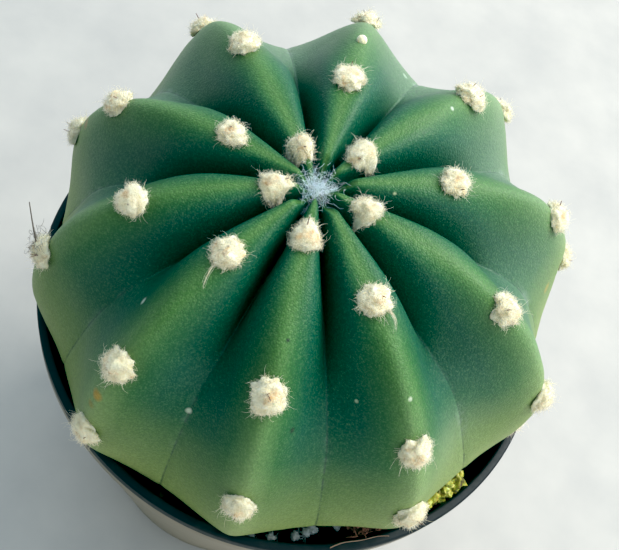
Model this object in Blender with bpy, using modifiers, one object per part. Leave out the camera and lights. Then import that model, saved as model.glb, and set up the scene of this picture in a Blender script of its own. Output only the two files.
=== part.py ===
"""A round ten-ribbed cactus standing in a small round nursery pot.

Metres, +Z up. The origin is the centre of the pot's foot, and -Y is the front.
An azimuth is measured from the front, towards -X. A latitude is measured down
the stem from its crown: 0 at the crown, 90 degrees at the widest place.
"""
import math
import random

import bmesh
import bpy
from mathutils import Matrix, Vector

# The nursery pot
POT_HEIGHT = 0.054
RIM_RADIUS = 0.0325
BASE_RADIUS = 0.0215
RIM_WIDTH = 0.0011
LIP_HEIGHT = 0.0035
LIP_STEP = 0.0005
FLOOR = 0.0014
FOOT_ROUNDING = 0.0012
DRAIN_RADIUS = 0.0024
DRAIN_CIRCLE = 0.0130
DRAIN_COUNT = 4
TURNING_STEPS = 72

# The growing mix
SOIL_DROP = 0.0042
SOIL_CROWNING = 0.0006

# Room left between neighbours
GAP = 0.00035

# The stem, in its own upright frame whose origin is the middle of the pot's rim
STEM_SHIFT = Vector((-0.0015, -0.0014, 0.0))
LEAN_FORWARD = 7.2
LEAN_SIDE = -3.0
WIDEST_RISE = 0.0051
CROWN_RISE = 0.0249
ROOT_DEPTH = 0.0200
SHOULDER_POWER = 3.27
DOME_POWER = 1.76
TAPER_POWER = 1.75
FURROW_LEAST = 0.0019
FURROW_SHOULDER = 0.0021
FURROW_CLEFT = 0.0024
CLEFT_LATITUDE = 18
CLEFT_SPREAD = 24
CREST_ROUND = 0.2
CROWN_FADE = 0.0024
CROWN_DIP = 0.0012
CROWN_DIP_RADIUS = 0.0036
COLUMNS_PER_RIB = 8
STEM_RINGS = 29
RING_CROWDING = 1.4

# Each rib: its name, its azimuth, its reach at the widest place, and the latitudes
# of its areoles from the crown down. Neighbouring ribs are half a step apart.
RIBS = (
    ("a", -12, 0.0309, (4, 32, 66)),
    ("b", 24, 0.0306, (12, 46, 76)),
    ("c", 61, 0.0304, (2.5, 25.5, 61)),
    ("d", 96, 0.0313, (9, 40, 70)),
    ("e", 133, 0.0334, (2, 24, 60, 97)),
    ("f", 171, 0.0342, (12.5, 46, 76, 106)),
    ("g", 207, 0.0349, (3, 30, 62.5, 98)),
    ("h", 240, 0.0342, (13.5, 48, 77, 107)),
    ("i", 275, 0.0330, (3, 31.5, 71, 103)),
    ("j", 312, 0.0320, (13.5, 48.5, 77)),
)

# The wool of the areoles and of the crown
CROWN_TUFT_WIDTH = 0.0033
WIDEST_TUFT_WIDTH = 0.0045
TUFT_HEIGHT = 0.0015
TUFT_ROUGHNESS = 0.07
TUFT_DRAPE = 0.6
CROWN_WOOL_RADIUS = 0.0021
CROWN_WOOL_HEIGHT = 0.0009

# The one long old spine, on the last areole of rib c
SPINE_RIB = "c"
SPINE_REACH = Vector((-0.0029, 0.0033, 0.0024))
SPINE_LATITUDE_STEP = 3.0
SPINE_BEND = Vector((0.0, -0.0004, 0.0003))
SPINE_RADIUS = 0.00013
SPINE_POINTS = 6

# Loose bits on the mix: name, azimuth, distance from the pot's axis, half sizes, turn
LOOSE_BITS = (
    ("perlite_1", -27, 0.0293, (0.0006, 0.0005, 0.0005), 10),
    ("perlite_2", -33, 0.0290, (0.0006, 0.0005, 0.0004), 50),
    ("perlite_3", 118, 0.0292, (0.0006, 0.0006, 0.0005), 30),
    ("bark_chip_1", -38, 0.0294, (0.0013, 0.0005, 0.0004), 38),
    ("bark_chip_2", 76, 0.0290, (0.0005, 0.0012, 0.0004), 14),
    ("moss_clump", -62, 0.0289, (0.0009, 0.0020, 0.0019), -28),
)

for leftover in list(bpy.data.objects):
    bpy.data.objects.remove(leftover, do_unlink=True)

plant = bpy.data.collections.new("potted_round_cactus")
cutters = bpy.data.collections.new("cutters")
bpy.context.scene.collection.children.link(plant)
bpy.context.scene.collection.children.link(cutters)


def finish_of(name, colour, roughness):
    """One plain finish: a Principled material of the given colour and roughness."""
    material = bpy.data.materials.new(name)
    material.use_nodes = True
    shader = material.node_tree.nodes["Principled BSDF"]
    shader.inputs["Base Color"].default_value = (*colour, 1.0)
    shader.inputs["Roughness"].default_value = roughness
    shader.inputs["Metallic"].default_value = 0.0
    return material


def add_object(name, mesh, collection, material=None):
    """Puts a mesh in the scene as one named object."""
    body = bpy.data.objects.new(name, mesh)
    collection.objects.link(body)
    if material:
        mesh.materials.append(material)
        mesh.shade_smooth()
        mesh.set_sharp_from_angle(angle=math.radians(40))
    return body


def mesh_from(bm, name):
    """Turns a finished bmesh into a mesh whose faces point out."""
    bmesh.ops.recalc_face_normals(bm, faces=bm.faces)
    if bm.calc_volume(signed=True) < 0:
        bmesh.ops.reverse_faces(bm, faces=bm.faces)
    mesh = bpy.data.meshes.new(name)
    bm.to_mesh(mesh)
    bm.free()
    return mesh


def turned(name, profile, collection, material=None):
    """A solid turned about the pot's axis from (radius, height) points."""
    bm = bmesh.new()
    points = [bm.verts.new((radius, 0.0, height)) for radius, height in profile]
    for first, second in zip(points, points[1:]):
        bm.edges.new((first, second))
    mesh = bpy.data.meshes.new(name)
    bm.to_mesh(mesh)
    bm.free()
    body = add_object(name, mesh, collection, material)
    screw = body.modifiers.new("turning", "SCREW")
    screw.steps = TURNING_STEPS
    screw.render_steps = TURNING_STEPS
    screw.use_merge_vertices = True
    screw.merge_threshold = 0.00001
    screw.use_smooth_shade = material is not None
    return body


def cut(body, cutter):
    """Takes the cutter's shape out of a body and hides the cutter."""
    cutter.hide_render = True
    cutter.display_type = "WIRE"
    boolean = body.modifiers.new("cut_" + cutter.name, "BOOLEAN")
    boolean.operation = "DIFFERENCE"
    boolean.solver = "EXACT"
    boolean.object = cutter


def around(azimuth, radius, height=0.0):
    """The point at this azimuth (degrees), distance from the axis and height."""
    turn = math.radians(azimuth)
    return Vector((-math.sin(turn) * radius, -math.cos(turn) * radius, height))


# ---- the pot ------------------------------------------------------------------------

LIP_BOTTOM = POT_HEIGHT - LIP_HEIGHT
WALL_SLOPE = (RIM_RADIUS - LIP_STEP - BASE_RADIUS) / (LIP_BOTTOM - FOOT_ROUNDING)


def pot_inside(height):
    """The inner radius of the pot at this height."""
    return RIM_RADIUS - RIM_WIDTH - WALL_SLOPE * (POT_HEIGHT - height)


def arc(centre, radius, start, stop, steps):
    """Points of an arc in a turned profile, angles in degrees from +X."""
    angles = [start + (stop - start) * step / steps for step in range(steps + 1)]
    return [
        (centre[0] + radius * math.cos(math.radians(angle)),
         centre[1] + radius * math.sin(math.radians(angle)))
        for angle in angles
    ]


def make_pot():
    """A thin moulded pot: tapered wall, beaded rim with a lip, flat foot, drain holes."""
    bead = RIM_WIDTH / 2
    inside = [(0.0, FLOOR), (pot_inside(FLOOR), FLOOR)]
    rim = arc((RIM_RADIUS - bead, POT_HEIGHT - bead), bead, 180, 0, 6)
    lip = [
        (RIM_RADIUS - 0.0001, LIP_BOTTOM + 0.0003),
        (RIM_RADIUS - LIP_STEP, LIP_BOTTOM - 0.0003),
    ]
    foot_centre = (BASE_RADIUS - FOOT_ROUNDING, FOOT_ROUNDING)
    foot = arc(foot_centre, FOOT_ROUNDING, 0, -90, 4)
    profile = inside + rim + lip + foot + [(0.0, 0.0)]
    black = finish_of("pot_plastic", (0.012, 0.014, 0.018), 0.38)
    pot = turned("pot", profile, plant, black)
    for number in range(DRAIN_COUNT):
        bm = bmesh.new()
        place = around(45 + number * 360 / DRAIN_COUNT, DRAIN_CIRCLE)
        bmesh.ops.create_cone(
            bm, cap_ends=True, segments=20, radius1=DRAIN_RADIUS, radius2=DRAIN_RADIUS,
            depth=6 * FLOOR, matrix=Matrix.Translation(place))
        name = "drain_cutter_" + str(number + 1)
        cut(pot, add_object(name, mesh_from(bm, name), cutters))
    return pot


# ---- the stem -----------------------------------------------------------------------

RIB_COUNT = len(RIBS)
STEM_PLACE = (
    Matrix.Translation(STEM_SHIFT + Vector((0.0, 0.0, POT_HEIGHT)))
    @ Matrix.Rotation(math.radians(LEAN_FORWARD), 4, "X")
    @ Matrix.Rotation(math.radians(LEAN_SIDE), 4, "Y")
)


def smooth(value, low, high):
    """0 below low, 1 above high, and an even curve between them."""
    share = min(max((value - low) / (high - low), 0.0), 1.0)
    return share * share * (3 - 2 * share)


def crest_outline(latitude):
    """Reach (as a share of the rib's own) and height of a rib's crest at a latitude."""
    angle = math.radians(latitude)
    across = abs(math.sin(angle))
    level = math.cos(angle)
    if level >= 0:
        return (across ** (2 / SHOULDER_POWER),
                WIDEST_RISE + CROWN_RISE * level ** (2 / DOME_POWER))
    return (across ** (2 / TAPER_POWER),
            WIDEST_RISE - ROOT_DEPTH * (-level) ** (2 / TAPER_POWER))


def rib_at(turn):
    """Azimuth, reach and furrow share (0 crest, 1 furrow) at a turn counted in ribs."""
    first = int(turn // 1) % RIB_COUNT
    second = (first + 1) % RIB_COUNT
    part = turn % 1
    gap = (RIBS[second][1] - RIBS[first][1]) % 360
    blend = 0.5 - 0.5 * math.cos(math.pi * part)
    reach = RIBS[first][2] * (1 - blend) + RIBS[second][2] * blend
    return RIBS[first][1] + gap * part, reach, 1 - abs(1 - 2 * part)


def furrow_shape(furrow, latitude):
    """How much of the full depth is carved: steep clefts above, sharp crests below."""
    cleft = furrow ** 4
    ridge = math.hypot(furrow, CREST_ROUND) - CREST_ROUND
    ridge /= math.hypot(1.0, CREST_ROUND) - CREST_ROUND
    flank = 1 - (1 - ridge) ** (1.55 - 0.35 * smooth(latitude, 65, 90))
    lower = smooth(latitude, 4, 32)
    return cleft * (1 - lower) + flank * lower


def furrow_depth(latitude, distance):
    """Depth of the furrows: deepest on the shoulder, running out at crown and root."""
    deep = FURROW_LEAST + FURROW_SHOULDER * (1 - smooth(latitude, 60, 100))
    deep += FURROW_CLEFT * math.exp(-((latitude - CLEFT_LATITUDE) / CLEFT_SPREAD) ** 2)
    crown = 1 - math.exp(-(distance / CROWN_FADE) ** 2)
    root = 1 - smooth(latitude, 105, 150)
    return deep * crown * root


def stem_point(turn, latitude, carving=1.0, lift=0.0):
    """A point of the stem's surface, or lifted off it along the crest's normal."""
    azimuth, reach, furrow = rib_at(turn)
    share, height = crest_outline(latitude)
    step = 0.2
    share_before, height_before = crest_outline(latitude - step)
    share_after, height_after = crest_outline(latitude + step)
    along = Vector(((share_after - share_before) * reach, height_after - height_before))
    along.normalize()
    distance = share * reach
    depth = furrow_depth(latitude, distance) * furrow_shape(furrow, latitude)
    offset = lift - depth * carving
    height -= CROWN_DIP * (1 - smooth(distance, 0.0, CROWN_DIP_RADIUS))
    return STEM_PLACE @ around(azimuth, distance - along.y * offset, height + along.x * offset)


def stem_mesh(name, lift):
    """A sphere whose columns follow the ribs; its rings lie closer towards the crown."""
    bm = bmesh.new()
    bmesh.ops.create_uvsphere(
        bm, u_segments=RIB_COUNT * COLUMNS_PER_RIB, v_segments=STEM_RINGS, radius=1.0)
    for vertex in bm.verts:
        ring = math.acos(max(-1.0, min(1.0, vertex.co.z))) / math.pi
        latitude = 180 * ring ** RING_CROWDING
        azimuth = math.atan2(-vertex.co.x, -vertex.co.y)
        turn = round(azimuth / math.tau * RIB_COUNT * COLUMNS_PER_RIB) / COLUMNS_PER_RIB
        vertex.co = stem_point(turn, latitude, lift=lift)
    return mesh_from(bm, name)


def make_stem():
    """The ribbed stem, one grown piece, cut clear of the pot's rim that it rests over."""
    green = finish_of("stem_skin", (0.075, 0.17, 0.06), 0.45)
    stem = add_object("stem", stem_mesh("stem", 0.0), plant, green)
    far = RIM_RADIUS * 1.5
    low = POT_HEIGHT - ROOT_DEPTH
    ring = [
        (pot_inside(POT_HEIGHT) - GAP, POT_HEIGHT + GAP),
        (far, POT_HEIGHT + GAP),
        (far, low),
        (pot_inside(low) - GAP, low),
        (pot_inside(POT_HEIGHT) - GAP, POT_HEIGHT + GAP),
    ]
    cut(stem, turned("rim_clearance", ring, cutters))
    return stem


# ---- the growing mix and what lies on it ------------------------------------------------

SOIL_TOP = POT_HEIGHT - SOIL_DROP


def make_soil():
    """The mix that fills the pot, with the hollow that the stem's base sits in."""
    bottom = FLOOR + GAP
    profile = [
        (0.0, SOIL_TOP + SOIL_CROWNING),
        (pot_inside(SOIL_TOP) * 0.8, SOIL_TOP + SOIL_CROWNING),
        (pot_inside(SOIL_TOP) - GAP, SOIL_TOP),
        (pot_inside(bottom) - GAP, bottom),
        (0.0, bottom),
    ]
    brown = finish_of("growing_mix", (0.045, 0.032, 0.022), 0.95)
    soil = turned("soil", profile, plant, brown)
    hollow = add_object("stem_hollow", stem_mesh("stem_hollow", GAP), cutters)
    cut(soil, hollow)
    return soil


def lump(name, place, half_sizes, turn, roughness, material, draws):
    """A small uneven solid, such as a grain or a chip."""
    bm = bmesh.new()
    bmesh.ops.create_icosphere(bm, subdivisions=2, radius=1.0)
    for vertex in bm.verts:
        vertex.co *= 1 + draws.uniform(-roughness, roughness)
    scale = Matrix.Diagonal((*half_sizes, 1.0))
    rotation = Matrix.Rotation(math.radians(turn), 4, "Z")
    bmesh.ops.transform(bm, matrix=Matrix.Translation(place) @ rotation @ scale, verts=bm.verts)
    return add_object(name, mesh_from(bm, name), plant, material)


def make_loose_bits():
    """White perlite grains, bark chips and a tuft of moss lying on the mix."""
    finishes = {
        "perlite": finish_of("perlite", (0.75, 0.74, 0.70), 0.9),
        "bark": finish_of("bark", (0.16, 0.065, 0.035), 0.85),
        "moss": finish_of("moss", (0.42, 0.40, 0.05), 0.8),
    }
    draws = random.Random(11)
    for name, azimuth, distance, half_sizes, turn in LOOSE_BITS:
        height = SOIL_TOP + SOIL_CROWNING + GAP + half_sizes[2] * 1.1
        place = around(azimuth, distance, height)
        lump(name, place, half_sizes, turn, 0.1, finishes[name.split("_")[0]], draws)


# ---- the wool and the spine ----------------------------------------------------------------


def make_tuft(name, rib, latitude, material, draws):
    """A pad of wool draped over the rib's crest at one areole."""
    reach_here = crest_outline(latitude)[0]
    width = CROWN_TUFT_WIDTH + (WIDEST_TUFT_WIDTH - CROWN_TUFT_WIDTH) * reach_here
    middle = stem_point(rib, latitude)
    per_degree = (stem_point(rib, latitude + 0.5) - stem_point(rib, latitude - 0.5)).length
    per_rib = (stem_point(rib + 0.1, latitude, 0.0) - middle).length * 10
    seat = stem_point(rib, latitude, lift=TUFT_HEIGHT) - middle
    up = seat.normalized()
    bm = bmesh.new()
    bmesh.ops.create_icosphere(bm, subdivisions=2, radius=1.0)
    for vertex in bm.verts:
        spread = 1 + draws.uniform(-TUFT_ROUGHNESS, TUFT_ROUGHNESS)
        side = vertex.co.x * spread * width / 2 / per_rib
        down = vertex.co.y * spread * width / 2 / per_degree
        share = 0.5 + 0.5 * vertex.co.z * spread
        height = GAP * 1.3 + TUFT_HEIGHT * max(share, 0.0)
        vertex.co = stem_point(rib + side, latitude + down, TUFT_DRAPE) + up * height
    return add_object(name, mesh_from(bm, name), plant, material)


def make_crown_wool(material, draws):
    """The flat felt of young wool over the growing point."""
    bm = bmesh.new()
    bmesh.ops.create_icosphere(bm, subdivisions=2, radius=1.0)
    for vertex in bm.verts:
        spread = 1 + draws.uniform(-TUFT_ROUGHNESS, TUFT_ROUGHNESS)
        vertex.co.x *= CROWN_WOOL_RADIUS * spread
        vertex.co.y *= CROWN_WOOL_RADIUS * spread
        vertex.co.z = vertex.co.z * spread * CROWN_WOOL_HEIGHT / 2
    top = WIDEST_RISE + CROWN_RISE
    height = top - CROWN_DIP / 2 + 2 * GAP + CROWN_WOOL_HEIGHT / 2
    place = STEM_PLACE @ Matrix.Translation((0.0, 0.0, height))
    bmesh.ops.transform(bm, matrix=place, verts=bm.verts)
    return add_object("crown_wool", mesh_from(bm, "crown_wool"), plant, material)


def make_wool():
    """One tuft for each areole, and the crown's felt."""
    cream = finish_of("areole_wool", (0.78, 0.77, 0.62), 0.95)
    draws = random.Random(7)
    for rib, (letter, azimuth, reach, latitudes) in enumerate(RIBS):
        for number, latitude in enumerate(latitudes):
            name = "areole_wool_" + letter + str(number + 1)
            make_tuft(name, rib, latitude, cream, draws)
    make_crown_wool(cream, draws)


def make_spine():
    """The long spine: a tapered, slightly bowed needle that leaves the tuft of its areole."""
    letters = [rib[0] for rib in RIBS]
    rib = letters.index(SPINE_RIB)
    latitude = RIBS[rib][3][-1]
    start = stem_point(rib, latitude - SPINE_LATITUDE_STEP, lift=TUFT_HEIGHT + 3 * GAP)
    curve = bpy.data.curves.new("long_spine", "CURVE")
    curve.dimensions = "3D"
    curve.bevel_depth = SPINE_RADIUS
    curve.bevel_resolution = 2
    curve.use_fill_caps = True
    line = curve.splines.new("POLY")
    line.points.add(SPINE_POINTS - 1)
    for index, point in enumerate(line.points):
        share = index / (SPINE_POINTS - 1)
        bow = SPINE_BEND * math.sin(math.pi * share)
        point.co = (*(start + SPINE_REACH * share + bow), 1.0)
        point.radius = 1 - 0.7 * share
    curve.materials.append(finish_of("old_spine", (0.14, 0.11, 0.085), 0.6))
    spine = bpy.data.objects.new("long_spine", curve)
    plant.objects.link(spine)
    return spine


make_pot()
make_soil()
make_stem()
make_wool()
make_spine()
make_loose_bits()
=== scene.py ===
import math
import random

import bmesh
import bpy
from mathutils import Matrix, Vector, noise


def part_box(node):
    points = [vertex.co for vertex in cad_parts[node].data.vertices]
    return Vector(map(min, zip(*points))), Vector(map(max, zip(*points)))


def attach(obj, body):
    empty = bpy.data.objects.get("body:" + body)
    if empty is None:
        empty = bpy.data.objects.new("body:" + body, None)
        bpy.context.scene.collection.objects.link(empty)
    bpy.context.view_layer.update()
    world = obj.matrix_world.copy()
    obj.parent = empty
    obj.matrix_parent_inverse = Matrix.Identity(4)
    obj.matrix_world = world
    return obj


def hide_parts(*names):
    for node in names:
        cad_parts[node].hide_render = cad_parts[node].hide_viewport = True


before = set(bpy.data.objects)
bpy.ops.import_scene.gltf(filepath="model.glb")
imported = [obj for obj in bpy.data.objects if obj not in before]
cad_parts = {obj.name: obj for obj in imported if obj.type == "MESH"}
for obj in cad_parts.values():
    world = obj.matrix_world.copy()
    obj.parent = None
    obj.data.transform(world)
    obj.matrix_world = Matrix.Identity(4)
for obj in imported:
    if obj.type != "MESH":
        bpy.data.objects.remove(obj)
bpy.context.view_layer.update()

mm = 0.001
scene = bpy.context.scene


# ---- The camera, the floor and the light --------------------------------------------
# The plant is looked down on from the front, close by, with the camera rolled to the
# right. A pale floor, a broad cool sky that is brightest behind, one large soft lamp
# behind to the right and a weak one at the front right.

pot_low, pot_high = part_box("pot")
rim_height = pot_high.z
rim_radius = (pot_high.x - pot_low.x) / 2

camera_elevation = 59.5
camera_distance = 116.1 * mm
camera_tilt = 1.4
camera_roll = 26.0
picture_width = 36.0

camera = bpy.data.objects.new("camera", bpy.data.cameras.new("camera"))
scene.collection.objects.link(camera)
camera.data.sensor_width = picture_width
camera.data.lens = 52.35
camera.data.clip_start = 5 * mm
camera.data.clip_end = 10.0
elevation = math.radians(camera_elevation)
camera.matrix_world = (
    Matrix.Translation((0.0, -math.cos(elevation) * camera_distance,
                        rim_height + math.sin(elevation) * camera_distance))
    @ Matrix.Rotation(math.radians(90 - camera_elevation + camera_tilt), 4, "X")
    @ Matrix.Rotation(math.radians(camera_roll), 4, "Z")
)
scene.camera = camera
scene.view_settings.view_transform = "Standard"
scene.view_settings.use_curve_mapping = True
scene.view_settings.curve_mapping.black_level = (0.014, 0.003, 0.003)


class Reading:
    """A shader output that takes part in sums: each operation adds its Math node."""

    def __init__(self, nodes, socket):
        self.nodes = nodes
        self.socket = socket

    def sum(self, operation, first, second):
        node = self.nodes.new("ShaderNodeMath")
        node.operation = operation
        for place, value in zip(node.inputs, (first, second)):
            if isinstance(value, Reading):
                self.nodes.id_data.links.new(value.socket, place)
            else:
                place.default_value = value
        return Reading(self.nodes, node.outputs[0])

    def __add__(self, other):
        return self.sum("ADD", self, other)

    def __sub__(self, other):
        return self.sum("SUBTRACT", self, other)

    def __rsub__(self, other):
        return self.sum("SUBTRACT", other, self)

    def __mul__(self, other):
        return self.sum("MULTIPLY", self, other)

    __radd__ = __add__
    __rmul__ = __mul__


class Finish:
    """A material in the making. add() makes any node: its type, settings, then sockets."""

    def __init__(self, name, world=None):
        self.material = world or bpy.data.materials.new(name)
        self.material.use_nodes = True
        self.nodes = self.material.node_tree.nodes
        self.shader = self.nodes["Background" if world else "Principled BSDF"]

    def put(self, node, sockets):
        for name, value in sockets.items():
            if isinstance(value, Reading):
                self.material.node_tree.links.new(value.socket, node.inputs[name])
            else:
                node.inputs[name].default_value = value

    def add(self, kind, settings=None, sockets=None, output=0):
        node = self.nodes.new("ShaderNode" + kind)
        for name, value in (settings or {}).items():
            if name == "stops":
                ramp = node.color_ramp.elements
                while len(ramp) < len(value):
                    ramp.new(0.5)
                for stop, (position, colour) in zip(ramp, value):
                    stop.position = position
                    stop.color = colour
            else:
                setattr(node, name, value)
        self.put(node, sockets or {})
        return Reading(self.nodes, node.outputs[output])

    def place(self):
        """Where on the piece this is, in metres."""
        return self.add("TexCoord", output="Object")

    def attribute(self, name):
        return self.add("Attribute", {"attribute_name": name}, output="Fac")

    def cloud(self, scale, detail=3.0, roughness=0.55):
        """A soft noise from 0 to 1 whose patches are about 1 / scale metres across."""
        sockets = {"Vector": self.place(), "Scale": scale, "Detail": detail,
                   "Roughness": roughness}
        return self.add("TexNoise", None, sockets, "Fac")

    def span(self, value, low, high, to_low=0.0, to_high=1.0):
        """value, from low..high to to_low..to_high, and no further."""
        sockets = {0: value, 1: low, 2: high, 3: to_low, 4: to_high}
        return self.add("MapRange", None, sockets)

    def blend(self, share, first, second, how="MIX"):
        """Two colours, the second by share over the first."""
        settings = {"data_type": "RGBA", "blend_type": how}
        return self.add("Mix", settings, {0: share, 6: first, 7: second}, 2)

    def bumps(self, height, distance, strength=1.0, under=None):
        sockets = {"Height": height, "Distance": distance, "Strength": strength}
        if under:
            sockets["Normal"] = under
        return self.add("Bump", None, sockets)

    def done(self, **sockets):
        self.put(self.shader, {name.replace("_", " "): v for name, v in sockets.items()})
        return self.material


def colour(red, green, blue):
    """A colour from its display values, 0 to 255, as the shader wants it."""
    shares = [value / 255 for value in (red, green, blue)]
    return (*[s / 12.92 if s <= 0.04045 else ((s + 0.055) / 1.055) ** 2.4 for s in shares],
            1.0)


floor_size = 3.0
bm = bmesh.new()
bmesh.ops.create_grid(bm, x_segments=8, y_segments=8, size=floor_size / 2)
floor_mesh = bpy.data.meshes.new("floor")
bm.to_mesh(floor_mesh)
bm.free()
floor = bpy.data.objects.new("floor", floor_mesh)
scene.collection.objects.link(floor)
pale = Finish("pale_floor")
mottle = pale.span(pale.cloud(60.0, 4.0), 0.3, 0.7)
floor_mesh.materials.append(pale.done(
    Base_Color=pale.blend(mottle, colour(184, 180, 174), colour(198, 193, 185)),
    Roughness=0.85))

bright_side = Vector((0.25, 0.93, 0.27)).normalized()
scene.world = bpy.data.worlds.new("sky")
sky = Finish("sky", scene.world)
towards_bright = sky.add("VectorMath", {"operation": "DOT_PRODUCT"}, {
    0: sky.add("TexCoord", output="Generated"), 1: bright_side}, "Value")
sky.done(Color=(0.70, 0.86, 1.0, 1.0), Strength=sky.span(towards_bright, -0.5, 1.0, 0.28, 1.75))


def lamp(name, direction, distance, width, watts, tint):
    """A square soft lamp that shines at the plant from this direction."""
    light = bpy.data.lights.new(name, "AREA")
    light.size = width
    light.energy = watts
    light.color = tint
    holder = bpy.data.objects.new(name, light)
    scene.collection.objects.link(holder)
    aim = Vector(direction).normalized()
    holder.location = Vector((0.0, 0.0, rim_height)) + aim * distance
    holder.rotation_euler = aim.to_track_quat("Z", "Y").to_euler()


lamp("window", (0.56, 0.54, 0.85), 0.60, 0.34, 3.8, (1.0, 0.985, 0.93))
lamp("front_fill", (0.85, -0.75, 0.42), 0.60, 0.40, 1.1, (1.0, 1.0, 0.92))


# ---- The stem ------------------------------------------------------------------------
# One grown piece: a squat globe of ten ribs, finger-like round the crown with deep
# clefts between them, broad and shallow lower down. Waxy skin, finely pitted, palest
# towards the soil, blue-green in the furrows. The pale crests and pit flecks are partly
# painted highlight, the pale far side is a painted sheen, and the cleft bottoms carry a
# painted shade line.

stem_shift = Vector((-1.5, -1.4, 0.0)) * mm
lean_forward = 7.2
lean_side = -3.0
widest_rise = 5.1 * mm
crown_rise = 24.9 * mm
root_depth = 20.0 * mm
shoulder_power = 3.27
dome_power = 1.76
taper_power = 1.75
furrow_least = 1.9 * mm
furrow_shoulder = 2.1 * mm
furrow_cleft = 2.4 * mm
crest_round = 0.13
crown_fade = 1.2 * mm
crown_dip = 1.7 * mm
crease_depth = 0.13 * mm
areole_dip = 0.30 * mm
rim_room = 0.3 * mm
# azimuth and falloff of a painted sheen: the skin facing the bright sky behind is painted paler
painted_sheen_side = 186
painted_sheen_share_power = 1.5
dusty_turn = 8.6
dusty_width = 0.35
dusty_share = 0.6
wall_width = 1.1 * mm
wall_slope = 0.2133

# name, azimuth from the front towards -X, reach, where the crest starts, both in mm from
# the middle of the crown, and the latitudes of the areoles
ribs = (
    ("a", -12, 30.9, 1.5, (4, 32, 66)),
    ("b", 24, 30.6, 2.8, (12, 46, 76)),
    ("c", 61, 30.4, 1.8, (2.5, 25.5, 61)),
    ("d", 96, 31.3, 1.7, (9, 40, 70)),
    ("e", 133, 33.8, 2.0, (2, 24, 60, 97)),
    ("f", 171, 34.6, 2.7, (12.5, 46, 76, 106)),
    ("g", 207, 34.9, 1.8, (3, 30, 62.5, 98)),
    ("h", 240, 34.2, 3.1, (13.5, 48, 77, 107)),
    ("i", 275, 33.0, 1.4, (3, 31.5, 71, 103)),
    ("j", 312, 31.6, 2.9, (13.5, 48.5, 77)),
)
stem_place = (
    Matrix.Translation(stem_shift + Vector((0.0, 0.0, rim_height)))
    @ Matrix.Rotation(math.radians(lean_forward), 4, "X")
    @ Matrix.Rotation(math.radians(lean_side), 4, "Y")
)


def around(azimuth, radius, height=0.0):
    """The point at this azimuth (degrees), distance from the axis and height."""
    turn = math.radians(azimuth)
    return Vector((-math.sin(turn) * radius, -math.cos(turn) * radius, height))


def smooth(value, low, high):
    """0 below low, 1 above high, and an even curve between them."""
    share = min(max((value - low) / (high - low), 0.0), 1.0)
    return share * share * (3 - 2 * share)


def crest_outline(latitude):
    """Reach (as a share of the rib's own) and height of a rib's crest at a latitude."""
    angle = math.radians(latitude)
    across = abs(math.sin(angle))
    level = math.cos(angle)
    if level >= 0:
        return (across ** (2 / shoulder_power),
                widest_rise + crown_rise * level ** (2 / dome_power))
    return (across ** (2 / taper_power),
            widest_rise - root_depth * (-level) ** (2 / taper_power))


def rib_at(turn):
    """Azimuth, reach, crest start and furrow share at a turn counted in ribs.

    The furrow share is 0 on a crest and 1 in the bottom of a furrow.
    """
    first = ribs[int(turn // 1) % len(ribs)]
    second = ribs[(int(turn // 1) + 1) % len(ribs)]
    part = turn % 1
    even = 0.5 - 0.5 * math.cos(math.pi * part)
    reach = first[2] * (1 - even) + second[2] * even
    start = first[3] * (1 - even) + second[3] * even
    azimuth = first[1] + (second[1] - first[1]) % 360 * part
    return azimuth, reach * mm, start * mm, 1 - abs(1 - 2 * part)


def furrow_shape(furrow, latitude):
    """Share of the full depth: round fingers at the crown, sharp-crested tents below."""
    finger = furrow ** 4.5
    blunt = crest_round * (1 + 1.6 * (1 - smooth(latitude, 20, 60)))
    ridge = (math.hypot(furrow, blunt) - blunt) / (math.hypot(1.0, blunt) - blunt)
    hollow = 1.55 + 0.45 * smooth(latitude, 60, 90)
    outer = smooth(latitude, 7, 38)
    return finger * (1 - outer) + (1 - (1 - ridge) ** hollow) * outer


def furrow_depth(latitude, distance):
    """Depth of the furrows: deepest on the shoulder, shallow at the rim, none below."""
    deep = furrow_least + furrow_shoulder * (1 - smooth(latitude, 60, 100))
    deep += furrow_cleft * math.exp(-((latitude - 18) / 24) ** 2)
    crown = 1 - math.exp(-(distance / crown_fade) ** 2)
    root = 1 - smooth(latitude, 105, 150)
    return deep * crown * root


def stem_point(turn, latitude, carving=1.0, lift=0.0):
    """A point of the stem's surface, or lifted off it along the crest's normal."""
    azimuth, reach, start, furrow = rib_at(turn)
    share, height = crest_outline(latitude)
    step = min(0.2, latitude / 2 + 0.001)
    before = crest_outline(latitude - step)
    after = crest_outline(latitude + step)
    along = Vector(((after[0] - before[0]) * reach, after[1] - before[1])).normalized()
    distance = share * reach
    depth = furrow_depth(latitude, distance) * furrow_shape(furrow, latitude)
    crease = crease_depth * math.exp(-((1 - furrow) / 0.04) ** 2)
    crease *= smooth(latitude, 4, 20) * (1 - smooth(latitude, 85, 110))
    offset = lift - (depth + crease) * carving
    height -= crown_dip * (1 - smooth(distance, start - 1.2 * mm, start + 0.9 * mm))
    return stem_place @ around(azimuth, distance - along.y * offset,
                               height + along.x * offset)


def pot_inside(height):
    """The inner radius of the pot at this height."""
    return rim_radius - wall_width - wall_slope * (rim_height - height)


def clear_of_rim(point):
    """Keeps the stem inside the pot's wall, and just above the rim where it passes over."""
    room = pot_inside(point.z) - rim_room + 3 * max(0.0, point.z - rim_height)
    distance = math.hypot(point.x, point.y)
    if distance > room:
        point = Vector((point.x * room / distance, point.y * room / distance, point.z))
    return point


def new_piece(name, bm, replaced, materials, smooth_faces=True):
    """Makes a finished bmesh into a piece that rides with the pot."""
    mesh = bpy.data.meshes.new(name)
    bm.to_mesh(mesh)
    bm.free()
    for material in materials:
        mesh.materials.append(material)
    if smooth_faces:
        mesh.shade_smooth()
    piece = bpy.data.objects.new(name, mesh)
    scene.collection.objects.link(piece)
    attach(piece, "root")
    if replaced:
        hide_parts(*replaced)
    return piece


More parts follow.
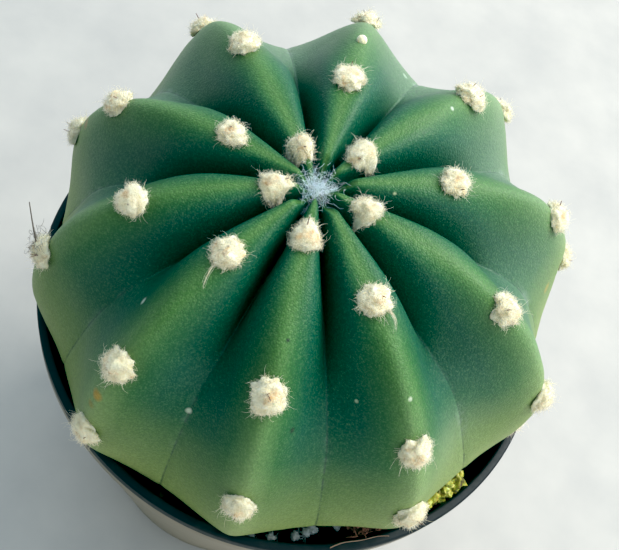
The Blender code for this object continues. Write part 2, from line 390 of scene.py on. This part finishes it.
columns_per_rib = 36
stem_rings = 240
areoles = [
    (number, latitude, rib[0] + str(place + 1))
    for number, rib in enumerate(ribs)
    for place, latitude in enumerate(rib[4])
]
areole_points = [(rib, stem_point(rib, latitude), 1.4 + 0.9 * smooth(latitude, 5, 30))
                 for rib, latitude, name in areoles]

bm = bmesh.new()
bmesh.ops.create_uvsphere(
    bm, u_segments=len(ribs) * columns_per_rib, v_segments=stem_rings, radius=1.0)
furrow_layer = bm.verts.layers.float.new("furrow")
age_layer = bm.verts.layers.float.new("age")
areole_layer = bm.verts.layers.float.new("areole")
sheen_and_dust_layer = bm.verts.layers.float.new("bleach")
for vertex in bm.verts:
    sphere_angle = math.acos(max(-1.0, min(1.0, vertex.co.z)))
    latitude = 180 * (sphere_angle / math.pi) ** 1.7
    azimuth = math.atan2(-vertex.co.x, -vertex.co.y)
    turn = round(azimuth / math.tau * len(ribs) * columns_per_rib) / columns_per_rib
    turn -= 0.5 * math.sin(math.tau * 2 * turn) / (math.tau * 2)
    point = stem_point(turn, latitude)
    outward = (stem_point(turn, latitude, lift=mm) - point).normalized()
    sag = 0.16 * mm * noise.noise(point * 180) + 0.02 * mm * noise.noise(point * 900)
    nearness = 0.0
    for rib, centre, width in areole_points:
        if abs((turn - rib + 5) % 10 - 5) < 1:
            spread = (point - centre).length / (width * mm)
            nearness = max(nearness, math.exp(-spread ** 2))
    vertex[furrow_layer] = rib_at(turn)[3]
    vertex[age_layer] = latitude / 180
    vertex[areole_layer] = nearness
    # Painted sheen on the side facing the bright sky, combined with real whitish dust along the
    # furrow between ribs i and j
    painted_sheen = 0.5 + 0.5 * math.cos(azimuth - math.radians(painted_sheen_side))
    painted_sheen = painted_sheen ** painted_sheen_share_power * smooth(latitude, 8, 55)
    dusty = math.exp(-((turn % 10 - dusty_turn) / dusty_width) ** 2)
    dusty *= smooth(latitude, 40, 65)
    vertex[sheen_and_dust_layer] = max(painted_sheen, dusty_share * dusty)
    vertex.co = clear_of_rim(point + outward * (sag - areole_dip * nearness))
bmesh.ops.recalc_face_normals(bm, faces=bm.faces)

skin = Finish("stem_skin")
furrow = skin.attribute("furrow")
age = skin.attribute("age")
near_areole = skin.attribute("areole")
patches = skin.cloud(120.0, 4.0)
fine_patches = skin.cloud(650.0, 3.0)
bleach = skin.attribute("bleach")
crest = skin.span(furrow, 0.0, 0.30, 1.0, 0.0)
old = skin.span(age + 0.06 * patches - 0.03 * furrow, 0.31, 0.51)
deep = skin.span(furrow + 0.3 * patches, 0.25, 0.75) * skin.span(age, 0.24, 0.45, 1.0, 0.0)
green = skin.blend(patches, colour(44, 97, 34), colour(62, 118, 42))
green = skin.blend(deep, green, colour(5, 84, 60))
# Pale crests: partly paler skin, partly a painted highlight along the ridges, stronger lower down
green = skin.blend(crest * skin.span(age, 0.15, 0.4, 0.16, 0.85), green, colour(148, 174, 114))
# Paler skin: painted sheen on the far side, and real dust near ribs i and j
green = skin.blend(0.60 * bleach, green, colour(152, 170, 136))
green = skin.blend(0.85 * old, green, colour(148, 162, 90))
green = skin.blend(skin.span(near_areole, 0.1, 0.8, 0.0, 0.3), green, colour(84, 104, 44))
# Painted shade: a dark line along the bottom of each upper cleft, where the cleft lies in shadow
crease_shade_line = skin.span(furrow, 0.982, 0.994) * skin.span(age, 0.15, 0.25)
green = skin.blend(crease_shade_line * skin.span(fine_patches, 0.35, 0.6, 0.15, 0.6), green,
                   colour(16, 48, 34))
scurf = skin.span(furrow, 0.90, 0.985) * skin.span(age, 0.2, 0.3)
scurf *= skin.span(age, 0.34, 0.42, 1.0, 0.0)
green = skin.blend(scurf * skin.span(fine_patches, 0.42, 0.66) * (0.10 + 0.5 * bleach), green,
                   colour(176, 190, 180))

# turn in ribs, latitude, radius in mm and colour of the small scars and stains
marks = (
    (1.01, 58.0, 0.9, (196, 150, 50)), (3.06, 84.0, 1.3, (188, 160, 116)),
    (1.27, 34.0, 0.5, (214, 224, 206)), (5.40, 44.0, 0.5, (176, 196, 170)),
    (0.51, 52.0, 0.45, (206, 214, 190)), (9.78, 42.0, 0.4, (22, 34, 22)),
    (9.95, 20.0, 0.25, (26, 40, 28)), (8.98, 34.0, 0.3, (200, 210, 180)),
    (6.05, 21.0, 0.3, (206, 220, 196)), (7.26, 5.0, 0.25, (204, 214, 170)),
    (2.95, 58.0, 0.9, (176, 150, 110)), (7.29, 68.0, 0.9, (170, 152, 84)),
    (1.02, 63.0, 0.7, (150, 140, 60)), (9.3, 35.0, 0.3, (190, 206, 170)),
)
for turn, latitude, radius, tint in marks:
    away = skin.add("VectorMath", {"operation": "DISTANCE"}, {
        0: skin.place(), 1: stem_point(turn, latitude)}, "Value")
    ragged = away + 0.5 * radius * mm * (fine_patches - 0.5)
    green = skin.blend(skin.span(ragged, 0.4 * radius * mm, radius * mm, 0.85, 0.0), green,
                       colour(*tint))
grain = skin.cloud(3400.0, 2.0, 0.7)
green = skin.blend(skin.span(grain, 0.35, 0.60, 0.22, 0.0), green, colour(20, 56, 26))
green = skin.blend(skin.span(grain, 0.5, 0.75, 0.0, 0.16), green, colour(150, 176, 120))
# The pale flecks at the centres of the pits are partly pale specks of the skin, partly a painted
# highlight
pits = skin.add("TexVoronoi", None, {"Vector": skin.place(), "Scale": 4600.0}, "Distance")
pitted = skin.span(pits, 0.1, 0.7)
grained = skin.bumps(grain, 0.06 * mm, 0.6)
skin_material = skin.done(
    Base_Color=skin.blend(skin.span(pitted, 0.0, 0.5, 0.15, 0.0), green, colour(150, 186, 130)),
    Roughness=skin.span(patches, 0.3, 0.7, 0.46, 0.56),
    Specular_IOR_Level=0.32,
    Subsurface_Weight=0.10,
    Subsurface_Radius=(0.3, 1.0, 0.3),
    Subsurface_Scale=1.0 * mm,
    Normal=skin.bumps(pitted, 0.05 * mm, 0.55, grained))
new_piece("ribbed_stem", bm, ["stem"], [skin_material])


# ---- The wool and the spines of the areoles ----------------------------------------------
# Each areole carries a thick pad of felted cream wool, browner where the old spine bases
# show, with curly hairs all over it and one or two very short horn-brown spines.

tuft_width_crown = 3.2 * mm
tuft_width_widest = 3.9 * mm
tuft_height = 1.5 * mm
hair_radius = 0.016 * mm
hairs_per_tuft = 850
hair_points = 5


def curl(start, heading, length, bend, draws):
    """The points of one hair: it sets out along heading and keeps turning one way."""
    axis = Vector([draws.uniform(-1, 1) for _ in range(3)]).normalized()
    turn = Matrix.Rotation(draws.uniform(0.3, 1.0) * bend, 3, axis)
    step = length / (hair_points - 1)
    points = [start]
    for _ in range(hair_points - 1):
        points.append(points[-1] + heading * step)
        heading = turn @ heading
    return points


def hair_mesh(name, hairs, radius):
    """Hairs as one mesh: each is a tapering curve with a round bevel."""
    curve = bpy.data.curves.new(name, "CURVE")
    curve.dimensions = "3D"
    curve.bevel_depth = radius
    curve.bevel_resolution = 0
    curve.use_fill_caps = True
    for points in hairs:
        line = curve.splines.new("POLY")
        line.points.add(len(points) - 1)
        for index, (place, point) in enumerate(zip(line.points, points)):
            place.co = (*point, 1.0)
            place.radius = 1 - 0.55 * index / (len(points) - 1)
    holder = bpy.data.objects.new(name, curve)
    scene.collection.objects.link(holder)
    bpy.context.view_layer.update()
    mesh = bpy.data.meshes.new_from_object(
        holder.evaluated_get(bpy.context.evaluated_depsgraph_get()))
    bpy.data.objects.remove(holder)
    return mesh


wool = Finish("areole_wool")
stain = wool.attribute("stain")
wisps = wool.cloud(1400.0, 3.0)
clumps = wool.cloud(520.0, 3.0)
cream = wool.blend(clumps, colour(254, 238, 194), colour(255, 250, 226))
cream = wool.blend(wool.span(wisps, 0.35, 0.6, 0.3, 0.0), cream, colour(242, 216, 156))
brown_share = wool.span(wool.cloud(900.0, 3.0) + 0.16 * stain, 0.60, 0.80, 0.0, 0.7)
wool_material = wool.done(
    Base_Color=wool.blend(brown_share, cream, colour(222, 172, 104)),
    Roughness=0.9,
    Subsurface_Weight=0.5,
    Subsurface_Radius=(1.0, 0.9, 0.75),
    Subsurface_Scale=0.6 * mm,
    Specular_IOR_Level=0.25,
    Normal=wool.bumps(wool.cloud(3200.0, 2.0, 0.7), 0.16 * mm, 0.9))
horn = Finish("spine_horn")
horn_material = horn.done(
    Base_Color=horn.blend(horn.cloud(2500.0), colour(84, 42, 26), colour(140, 84, 52)),
    Roughness=0.5)


def add_mesh(bm, mesh, material_index):
    """Adds a mesh to a bmesh, with its own material."""
    old_faces = len(bm.faces)
    bm.from_mesh(mesh)
    bm.faces.ensure_lookup_table()
    for face in bm.faces[old_faces:]:
        face.material_index = material_index
    bpy.data.meshes.remove(mesh)


def make_areole(rib, latitude, name, draws):
    """The wool pad of one areole with its hairs and spines."""
    reach_here = crest_outline(latitude)[0]
    width = tuft_width_crown + (tuft_width_widest - tuft_width_crown) * reach_here
    width *= draws.uniform(0.92, 1.06)
    middle = stem_point(rib, latitude)
    up = (stem_point(rib, latitude, lift=mm) - middle).normalized()
    per_degree = (stem_point(rib, latitude + 0.5) - stem_point(rib, latitude - 0.5)).length
    per_rib = (stem_point(rib + 0.1, latitude, 0.0) - middle).length * 10
    drift = Vector([draws.uniform(0, 40) for _ in range(3)])

    def seated(side, down, height):
        """A point of the pad from its own coordinates, in half widths and in metres."""
        foot = stem_point(rib + side * width / 2 / per_rib,
                          latitude + down * width / 2 / per_degree, 0.5)
        return foot + up * (height - areole_dip)

    bm = bmesh.new()
    bmesh.ops.create_icosphere(bm, subdivisions=4, radius=1.0)
    stain_layer = bm.verts.layers.float.new("stain")
    roots = []
    for vertex in bm.verts:
        unit = vertex.co.copy()
        lump = 1 + 0.34 * noise.noise(unit * 1.9 + drift) + 0.14 * noise.noise(unit * 8 + drift)
        flat = unit * lump * 0.88
        height = tuft_height * (0.25 + 0.75 * max(flat.z, -0.3))
        vertex[stain_layer] = max(0.0, 1 - math.hypot(unit.x, unit.y) * 0.9)
        vertex.co = seated(flat.x, flat.y, height)
        if unit.z > -0.25:
            roots.append((vertex.co.copy(), unit))
    bmesh.ops.recalc_face_normals(bm, faces=bm.faces)
    across = (seated(1, 0, 0) - seated(-1, 0, 0)).normalized()
    along = (seated(0, 1, 0) - seated(0, -1, 0)).normalized()
    hairs = []
    for _ in range(hairs_per_tuft):
        start, unit = draws.choice(roots)
        sweep = Vector((unit.x + draws.uniform(-0.6, 0.6), unit.y + draws.uniform(-0.6, 0.6),
                        max(unit.z, 0.0) + draws.uniform(0.0, 0.9)))
        heading = (across * sweep.x + along * sweep.y + up * sweep.z).normalized()
        length = draws.uniform(0.30, 0.70) * mm
        if draws.random() < 0.05:
            length *= 2.3
        hairs.append(curl(start - heading * 0.1 * mm, heading, length, 0.8, draws))
    add_mesh(bm, hair_mesh("hairs", hairs, hair_radius), 0)
    spines = []
    for _ in range(draws.choice((1, 1, 2, 2))):
        start, unit = draws.choice(roots)
        lean = across * draws.uniform(-0.8, 0.8) + along * draws.uniform(-0.8, 0.8)
        heading = (up + lean).normalized()
        start = middle + (start - middle) * 0.6
        spines.append(curl(start, heading, draws.uniform(0.9, 1.5) * mm, 0.12, draws))
    add_mesh(bm, hair_mesh("spines", spines, 0.08 * mm), 1)
    new_piece("areole_" + name, bm, ["areole_wool_" + name],
              [wool_material, horn_material])


areole_draws = random.Random(19)
for rib, latitude, name in areoles:
    make_areole(rib, latitude, name, areole_draws)


# ---- Loose wool on the ribs --------------------------------------------------------------
# Two wisps of hair that trail from areoles of the front ribs, and a small white bead of
# wool that has caught on a rib at the back.

wisp_hairs = 22
wisp_points = 8
caught_bead = (5.0, 25.0)
caught_bead_radius = 0.6 * mm

# turn in ribs and latitude where a wisp starts, how far it trails down the rib in degrees,
# and how far it drifts and bows to the side in ribs
trails = ((8.93, 15.0, 5.0, 0.02, -0.05), (0.99, 14.5, 5.0, -0.10, 0.0))
wisp_draws = random.Random(29)
wisps = []
for turn, latitude, fall, slant, bow in trails:
    for _ in range(wisp_hairs):
        line = []
        swing = wisp_draws.gauss(0.0, 0.009)
        reach = wisp_draws.uniform(0.4, 1.0)
        for step in range(wisp_points):
            share = step / (wisp_points - 1) * reach
            side = swing + slant * share + bow * math.sin(math.pi * share)
            side += wisp_draws.uniform(-0.004, 0.004)
            line.append(stem_point(turn + side, latitude + fall * share,
                                   lift=(0.35 + 0.3 * math.sin(math.pi * share)) * mm))
        wisps.append(line)
bm = bmesh.new()
bmesh.ops.create_icosphere(
    bm, subdivisions=3, radius=caught_bead_radius,
    matrix=Matrix.Translation(stem_point(*caught_bead, lift=0.1 * mm)))
add_mesh(bm, hair_mesh("wisps", wisps, hair_radius), 0)
new_piece("trailing_wisps", bm, [], [wool_material])


# ---- The wool of the crown ---------------------------------------------------------------
# The growing point lies under a loose web of fine bluish-white hairs that fills the
# hollow between the youngest rib ends and runs a little way out into the clefts.

web_hairs = 900
web_hair_radius = 0.017 * mm
web = Finish("crown_wool")
web_material = web.done(
    Base_Color=web.blend(web.cloud(900.0), colour(232, 246, 250), colour(252, 254, 255)),
    Roughness=0.8,
    Subsurface_Weight=0.4,
    Subsurface_Scale=0.5 * mm,
    Specular_IOR_Level=0.3)
crown_draws = random.Random(5)
strands = []
for number in range(web_hairs):
    arm = crown_draws.random() < 0.45
    turn = crown_draws.choice((0.5, 2.5, 4.5, 6.5, 8.5)) if arm else crown_draws.uniform(0, 10)
    spread = crown_draws.uniform(0.05, 1.1) if arm else abs(crown_draws.gauss(0, 0.3))
    start = stem_point(turn % 10, max(spread, 0.01), 0.45)
    start += Vector((0, 0, crown_draws.uniform(0.2, 0.9) * mm))
    way = crown_draws.uniform(0, math.tau)
    heading = Vector((math.cos(way), math.sin(way), crown_draws.uniform(-0.2, 0.3)))
    strands.append(curl(start, heading.normalized(), crown_draws.uniform(0.5, 1.7) * mm, 0.9,
                        crown_draws))
bm = bmesh.new()
add_mesh(bm, hair_mesh("strands", strands, web_hair_radius), 0)
new_piece("crown_web", bm, ["crown_wool"], [web_material])


# ---- The long old spine ------------------------------------------------------------------
# A single dry grey-brown needle, bowed, with a few hairs caught on it, that stands up
# out of the last areole of rib c.

needle_steps = 13
needle_radius = 0.11 * mm
caught_hairs = 70
spine_start = stem_point(2, 60.0, lift=0.6 * mm)
spine_run = Vector((-2.9, 3.3, 2.4)) * mm
needle = []
for step in range(needle_steps + 1):
    share = step / needle_steps
    bow = Vector((0.3, -0.5, 0.2)) * mm * math.sin(math.pi * share)
    needle.append(spine_start + spine_run * share + bow)
spine_draws = random.Random(3)
caught = []
for _ in range(caught_hairs):
    start = needle[0] + spine_run * 0.4 * spine_draws.random() ** 2
    start += Vector([spine_draws.uniform(-0.7, 0.7) for _ in range(3)]) * mm
    heading = Vector([spine_draws.uniform(-1, 1) for _ in range(3)]).normalized()
    caught.append(curl(start, heading, spine_draws.uniform(0.5, 1.9) * mm, 1.0, spine_draws))
dry = Finish("old_spine")
dry_material = dry.done(
    Base_Color=dry.blend(dry.cloud(1200.0), colour(70, 60, 54), colour(120, 104, 88)),
    Roughness=0.6)
bm = bmesh.new()
add_mesh(bm, hair_mesh("needle", [needle], needle_radius), 0)
add_mesh(bm, hair_mesh("caught_hairs", caught, 0.022 * mm), 0)
new_piece("long_dry_spine", bm, ["long_spine"], [dry_material])


# ---- The pot -----------------------------------------------------------------------------
# A thin moulded nursery pot: a beaded rim on a short lip, a tapered wall, and a flat foot
# with four drain holes. Its plastic is black inside and on the rim, and taupe outside.

lip_height = 3.5 * mm
lip_step = 0.5 * mm
floor_thickness = 1.4 * mm
foot_rounding = 1.2 * mm
drain_radius = 2.4 * mm
drain_circle = 13.0 * mm
base_radius = rim_radius - lip_step - wall_slope * (rim_height - lip_height - foot_rounding)
pot_steps = 256
drain_count = 4


def arc(centre, radius, start, stop, steps):
    """Points of an arc in a turned profile, angles in degrees from +X."""
    return [
        (centre[0] + radius * math.cos(math.radians(start + (stop - start) * step / steps)),
         centre[1] + radius * math.sin(math.radians(start + (stop - start) * step / steps)))
        for step in range(steps + 1)
    ]


def turned(profile, steps):
    """A closed bmesh turned about the pot's axis from (radius, height) points."""
    bm = bmesh.new()
    points = [bm.verts.new((radius, 0.0, height)) for radius, height in profile]
    edges = [bm.edges.new(pair) for pair in zip(points, points[1:])]
    bmesh.ops.spin(
        bm, geom=points + edges, cent=(0, 0, 0), axis=(0, 0, 1), angle=math.tau,
        steps=steps, use_merge=True)
    bmesh.ops.remove_doubles(bm, verts=bm.verts, dist=0.001 * mm)
    bmesh.ops.recalc_face_normals(bm, faces=bm.faces)
    return bm


bead = 0.28 * wall_width
lip_bottom = rim_height - lip_height
pot_profile = (
    [(0.0, floor_thickness), (pot_inside(floor_thickness) - 0.6 * mm, floor_thickness),
     (pot_inside(floor_thickness), floor_thickness + 0.6 * mm)]
    + arc((rim_radius - wall_width + bead, rim_height - bead), bead, 180, 90, 7)
    + arc((rim_radius - bead, rim_height - bead), bead, 90, 0, 7)
    + [(rim_radius - 0.05 * mm, rim_height - 1.6 * mm),
       (rim_radius - 0.1 * mm, lip_bottom + 0.45 * mm),
       (rim_radius - 0.2 * mm, lip_bottom + 0.1 * mm),
       (rim_radius - lip_step, lip_bottom - 0.25 * mm)]
    + arc((base_radius - foot_rounding, foot_rounding), foot_rounding, 0, -90, 8)
    + [(0.0, 0.0)]
)
bm = turned(pot_profile, pot_steps)
pot_mesh = bpy.data.meshes.new("pot_shell")
bm.to_mesh(pot_mesh)
bm.free()
pot_shell = bpy.data.objects.new("pot_shell", pot_mesh)
scene.collection.objects.link(pot_shell)
bm = bmesh.new()
for number in range(drain_count):
    bmesh.ops.create_cone(
        bm, cap_ends=True, segments=48, radius1=drain_radius, radius2=drain_radius,
        depth=6 * floor_thickness,
        matrix=Matrix.Translation(around(360 / drain_count * (number + 0.5), drain_circle)))
drill_mesh = bpy.data.meshes.new("drill")
bm.to_mesh(drill_mesh)
bm.free()
drill = bpy.data.objects.new("drill", drill_mesh)
scene.collection.objects.link(drill)
holes = pot_shell.modifiers.new("drain_holes", "BOOLEAN")
holes.operation = "DIFFERENCE"
holes.solver = "EXACT"
holes.object = drill
bpy.context.view_layer.update()
drilled = bpy.data.meshes.new_from_object(
    pot_shell.evaluated_get(bpy.context.evaluated_depsgraph_get()))
bpy.data.objects.remove(pot_shell)
bpy.data.objects.remove(drill)
bm = bmesh.new()
bm.from_mesh(drilled)

plastic = Finish("black_pot_plastic")
dust = plastic.span(plastic.cloud(260.0, 5.0), 0.52, 0.75)
scuffs = plastic.cloud(1800.0, 2.0)
pot_material = plastic.done(
    Base_Color=plastic.blend(0.2 * dust, colour(10, 13, 18), colour(92, 88, 80)),
    Roughness=plastic.span(scuffs + 0.5 * dust, 0.3, 1.1, 0.46, 0.66),
    Specular_IOR_Level=0.28,
    Normal=plastic.bumps(scuffs, 0.02 * mm, 0.35))
taupe = Finish("taupe_pot_outside")
smudges = taupe.cloud(190.0, 5.0)
taupe_material = taupe.done(
    Base_Color=taupe.blend(smudges, colour(118, 106, 84), colour(140, 128, 104)),
    Roughness=0.42,
    Specular_IOR_Level=0.5,
    Normal=taupe.bumps(smudges, 0.05 * mm, 0.3))
for face in bm.faces:
    middle = face.calc_center_median()
    outside = math.hypot(middle.x, middle.y) > pot_inside(middle.z) + 0.8 * wall_width
    if outside and middle.z < rim_height - 1.5 * wall_width:
        face.material_index = 1
pot_piece = new_piece("nursery_pot", bm, ["pot"],
                      [pot_material, taupe_material])
pot_piece.data.set_sharp_from_angle(angle=math.radians(35))


# ---- The growing mix ---------------------------------------------------------------------
# Peaty mix that fills the pot, hollowed under the stem, with loose crumbs over its
# surface in the gap that is left between the stem and the pot's wall. Its near-black
# tones, and those of the darkest crumbs, are partly painted shade for the deep gap.

soil_low, soil_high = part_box("soil")
soil_top = soil_high.z - 0.6 * mm
hollow_radius = 23.0 * mm
soil_profile = (
    [(0.0, soil_top - 12 * mm), (10 * mm, soil_top - 11 * mm), (18 * mm, soil_top - 7 * mm),
     (21.5 * mm, soil_top - 2.5 * mm), (hollow_radius, soil_top)]
    + [(hollow_radius + (pot_inside(soil_top) - 0.2 * mm - hollow_radius) * step / 14, soil_top)
       for step in range(1, 15)]
    + [(pot_inside(soil_low.z) - 0.3 * mm, soil_low.z), (0.0, soil_low.z)]
)
bm = turned(soil_profile, 300)
for vertex in bm.verts:
    if vertex.co.z > soil_top - 0.1 * mm:
        rough = noise.noise(vertex.co * 900) * 0.5 + noise.noise(vertex.co * 260) * 0.6
        vertex.co.z += rough * mm * 0.7
earth = Finish("growing_mix")
crumbs = earth.cloud(1600.0, 4.0)
# Painted shade in part: the mix is painted near black, darker than its own peat, to stand in for
# the shaded gap under the stem
earth_colour = earth.add("ValToRGB", {"stops": [
    (0.30, colour(8, 6, 5)), (0.58, colour(26, 19, 15)), (0.76, colour(70, 50, 36))]},
    {"Fac": crumbs})
earth_material = earth.done(
    Base_Color=earth_colour, Roughness=0.95, Specular_IOR_Level=0.2,
    Normal=earth.bumps(crumbs, 0.3 * mm, 0.9))
new_piece("growing_mix", bm, ["soil"], [earth_material])


def stem_edge(azimuth):
    """How far the stem reaches from the pot's axis at the mix's surface."""
    turn = 0.0
    nearest = 360.0
    for step in range(200):
        gap = abs((rib_at(step / 20)[0] - azimuth + 180) % 360 - 180)
        if gap < nearest:
            nearest, turn = gap, step / 20
    reach = 0.0
    for latitude in range(92, 150, 2):
        point = stem_point(turn, latitude)
        if point.z > soil_top - 0.5 * mm:
            reach = math.hypot(point.x, point.y)
    return reach


soil_draws = random.Random(23)
crumb_count = 1300
edge_step = 5
stem_edges = [stem_edge(azimuth) for azimuth in range(0, 360, edge_step)]
bm = bmesh.new()
tone_layer = bm.verts.layers.float.new("tone")
for _ in range(crumb_count):
    azimuth = soil_draws.uniform(0, 360)
    inner = stem_edges[int(azimuth // edge_step)]
    outer = pot_inside(soil_top) - 0.3 * mm
    radius = inner + (outer - inner) * soil_draws.random()
    size = soil_draws.uniform(0.18, 0.55) * mm
    place = around(azimuth, radius, soil_top + soil_draws.uniform(0.0, 0.5) * mm)
    squash = Matrix.Diagonal((soil_draws.uniform(0.6, 1.4), soil_draws.uniform(0.6, 1.4),
                              soil_draws.uniform(0.5, 1.0), 1.0)) * size
    squash[3][3] = 1.0
    spun = Matrix.Rotation(soil_draws.uniform(0, math.tau), 4, "Z")
    made = bmesh.ops.create_icosphere(
        bm, subdivisions=1, radius=1.0, matrix=Matrix.Translation(place) @ spun @ squash)
    tone = soil_draws.random()
    for vertex in made["verts"]:
        vertex[tone_layer] = tone
        vertex.co += Vector([soil_draws.uniform(-0.2, 0.2) for _ in range(3)]) * size
crumb = Finish("mix_crumbs")
# The darkest crumb tones are partly painted shade, like the mix
crumb_colour = crumb.add("ValToRGB", {"stops": [
    (0.0, colour(8, 6, 5)), (0.6, colour(24, 17, 14)), (0.9, colour(60, 42, 30)),
    (1.0, colour(120, 96, 70))]}, {"Fac": crumb.attribute("tone")})
crumb_material = crumb.done(
    Base_Color=crumb_colour, Roughness=0.95, Specular_IOR_Level=0.2,
    Normal=crumb.bumps(crumb.cloud(3000.0), 0.1 * mm, 0.8))
new_piece("mix_crumbs", bm, [], [crumb_material], smooth_faces=False)


# ---- The loose bits on the mix -----------------------------------------------------------
# White perlite grains and fibrous flecks, reddish bark chips and dried roots, and a
# yellow-green tuft of moss, which lie in the gap. A thin dry twig lies on the rim.

perlite = Finish("perlite")
perlite_material = perlite.done(
    Base_Color=perlite.blend(perlite.cloud(1800.0), colour(206, 204, 196), colour(240, 240, 236)),
    Roughness=0.9,
    Normal=perlite.bumps(perlite.cloud(2600.0), 0.12 * mm, 0.8))
bark = Finish("bark")
bark_grain = bark.cloud(1500.0, 4.0)
bark_material = bark.done(
    Base_Color=bark.blend(bark_grain, colour(74, 34, 22), colour(164, 104, 78)),
    Roughness=0.85,
    Normal=bark.bumps(bark_grain, 0.2 * mm, 0.9))
moss = Finish("moss")
moss_tones = moss.add("ValToRGB", {"stops": [
    (0.34, colour(70, 52, 20)), (0.44, colour(132, 128, 30)), (0.56, colour(186, 186, 62)),
    (0.70, colour(222, 220, 140))]}, {"Fac": moss.cloud(900.0, 3.0)})
moss_material = moss.done(
    Base_Color=moss_tones, Roughness=0.6, Subsurface_Weight=0.2,
    Subsurface_Scale=0.5 * mm,
    Normal=moss.bumps(moss.cloud(1500.0), 0.15 * mm, 0.7))


def rough_lump(node, material, jag, draws):
    """An uneven lump that fills the box of its own solid in the frame."""
    low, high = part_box(node)
    bm = bmesh.new()
    bmesh.ops.create_icosphere(bm, subdivisions=4, radius=1.0)
    drift = Vector([draws.uniform(0, 50) for _ in range(3)])
    for vertex in bm.verts:
        unit = vertex.co.copy()
        fine = 0.5 * jag * noise.noise(unit * 5 + drift)
        size = 1 + jag * noise.noise(unit * 1.8 + drift) + fine
        half = (high - low) / 2
        vertex.co = (low + high) / 2 + Vector((unit.x * half.x, unit.y * half.y,
                                               unit.z * half.z)) * size
    new_piece(node + "_detail", bm, [node], [material])


bit_draws = random.Random(41)
for number in (1, 2, 3):
    rough_lump("perlite_" + str(number), perlite_material, 0.45, bit_draws)
for number in (1, 2):
    rough_lump("bark_chip_" + str(number), bark_material, 0.6, bit_draws)

moss_start = -64
moss_end = -53
moss_lobes = 30
bm = bmesh.new()
for number in range(moss_lobes):
    azimuth = moss_start + (moss_end - moss_start) * number / (moss_lobes - 1)
    lobe = bit_draws.uniform(0.3, 0.85) * mm
    height = rim_height - bit_draws.uniform(-0.2, 1.6) * mm
    middle = around(azimuth, pot_inside(height) - lobe - bit_draws.uniform(0.1, 1.0) * mm, height)
    drift = Vector([bit_draws.uniform(0, 50) for _ in range(3)])
    made = bmesh.ops.create_icosphere(bm, subdivisions=3, radius=1.0)
    for vertex in made["verts"]:
        unit = vertex.co.copy()
        size = 1 + 0.9 * noise.noise(unit * 1.7 + drift) + 0.3 * noise.noise(unit * 6 + drift)
        vertex.co = middle + unit * lobe * size
new_piece("moss_lobes", bm, ["moss_clump"], [moss_material])

# azimuth, radius and height in mm of the small white flecks
flecks = ((-17.5, 30.4, 51.2), (-13.0, 30.6, 51.0), (-25.5, 29.6, 51.2), (-23.0, 30.0, 51.0))
bm = bmesh.new()
fibres = []
fleck_radius = 0.5 * mm
fibres_per_fleck = 12
for azimuth, radius, height in flecks:
    middle = around(azimuth, radius * mm, height * mm)
    drift = Vector([bit_draws.uniform(0, 50) for _ in range(3)])
    made = bmesh.ops.create_icosphere(bm, subdivisions=3, radius=1.0)
    for vertex in made["verts"]:
        unit = vertex.co.copy()
        vertex.co = middle + unit * fleck_radius * (1 + 0.7 * noise.noise(unit * 2.0 + drift))
    for _ in range(fibres_per_fleck):
        heading = Vector([bit_draws.uniform(-1, 1) for _ in range(3)]).normalized()
        fibres.append(curl(middle, heading, bit_draws.uniform(0.7, 1.8) * mm, 0.8, bit_draws))
add_mesh(bm, hair_mesh("fibres", fibres, 0.03 * mm), 0)
new_piece("white_flecks", bm, [], [perlite_material])

root_count = 46
roots = []
for _ in range(root_count):
    height = rim_height - bit_draws.uniform(0.2, 2.2) * mm
    azimuth = bit_draws.uniform(-45, -34)
    start = around(azimuth, pot_inside(height) - bit_draws.uniform(0.2, 1.5) * mm, height)
    way = bit_draws.uniform(0, math.tau)
    heading = Vector((math.cos(way), math.sin(way), bit_draws.uniform(-0.3, 0.3))).normalized()
    line = curl(start, heading, bit_draws.uniform(0.8, 2.4) * mm, 1.1, bit_draws)
    roots.append([clear_of_rim(point) for point in line])
root = Finish("dried_root")
root_material = root.done(
    Base_Color=root.blend(root.cloud(1100.0), colour(112, 52, 38), colour(206, 140, 112)),
    Roughness=0.8)
bm = bmesh.new()
add_mesh(bm, hair_mesh("roots", roots, 0.12 * mm), 0)
new_piece("dried_roots", bm, [], [root_material])

straw = Finish("dry_straw")
straw_material = straw.done(
    Base_Color=straw.blend(straw.cloud(900.0), colour(128, 92, 74), colour(196, 164, 138)),
    Roughness=0.8)
twig_steps = 11
twig = []
for step in range(twig_steps + 1):
    share = step / twig_steps
    sway = 0.5 * math.sin(math.pi * share) + 0.12 * math.sin(9 * share)
    twig.append(around(-29 - 13 * share, (32.0 - sway) * mm, rim_height + 0.10 * mm))
bm = bmesh.new()
add_mesh(bm, hair_mesh("twig", [twig], 0.08 * mm), 0)
new_piece("pale_twig", bm, [], [straw_material])
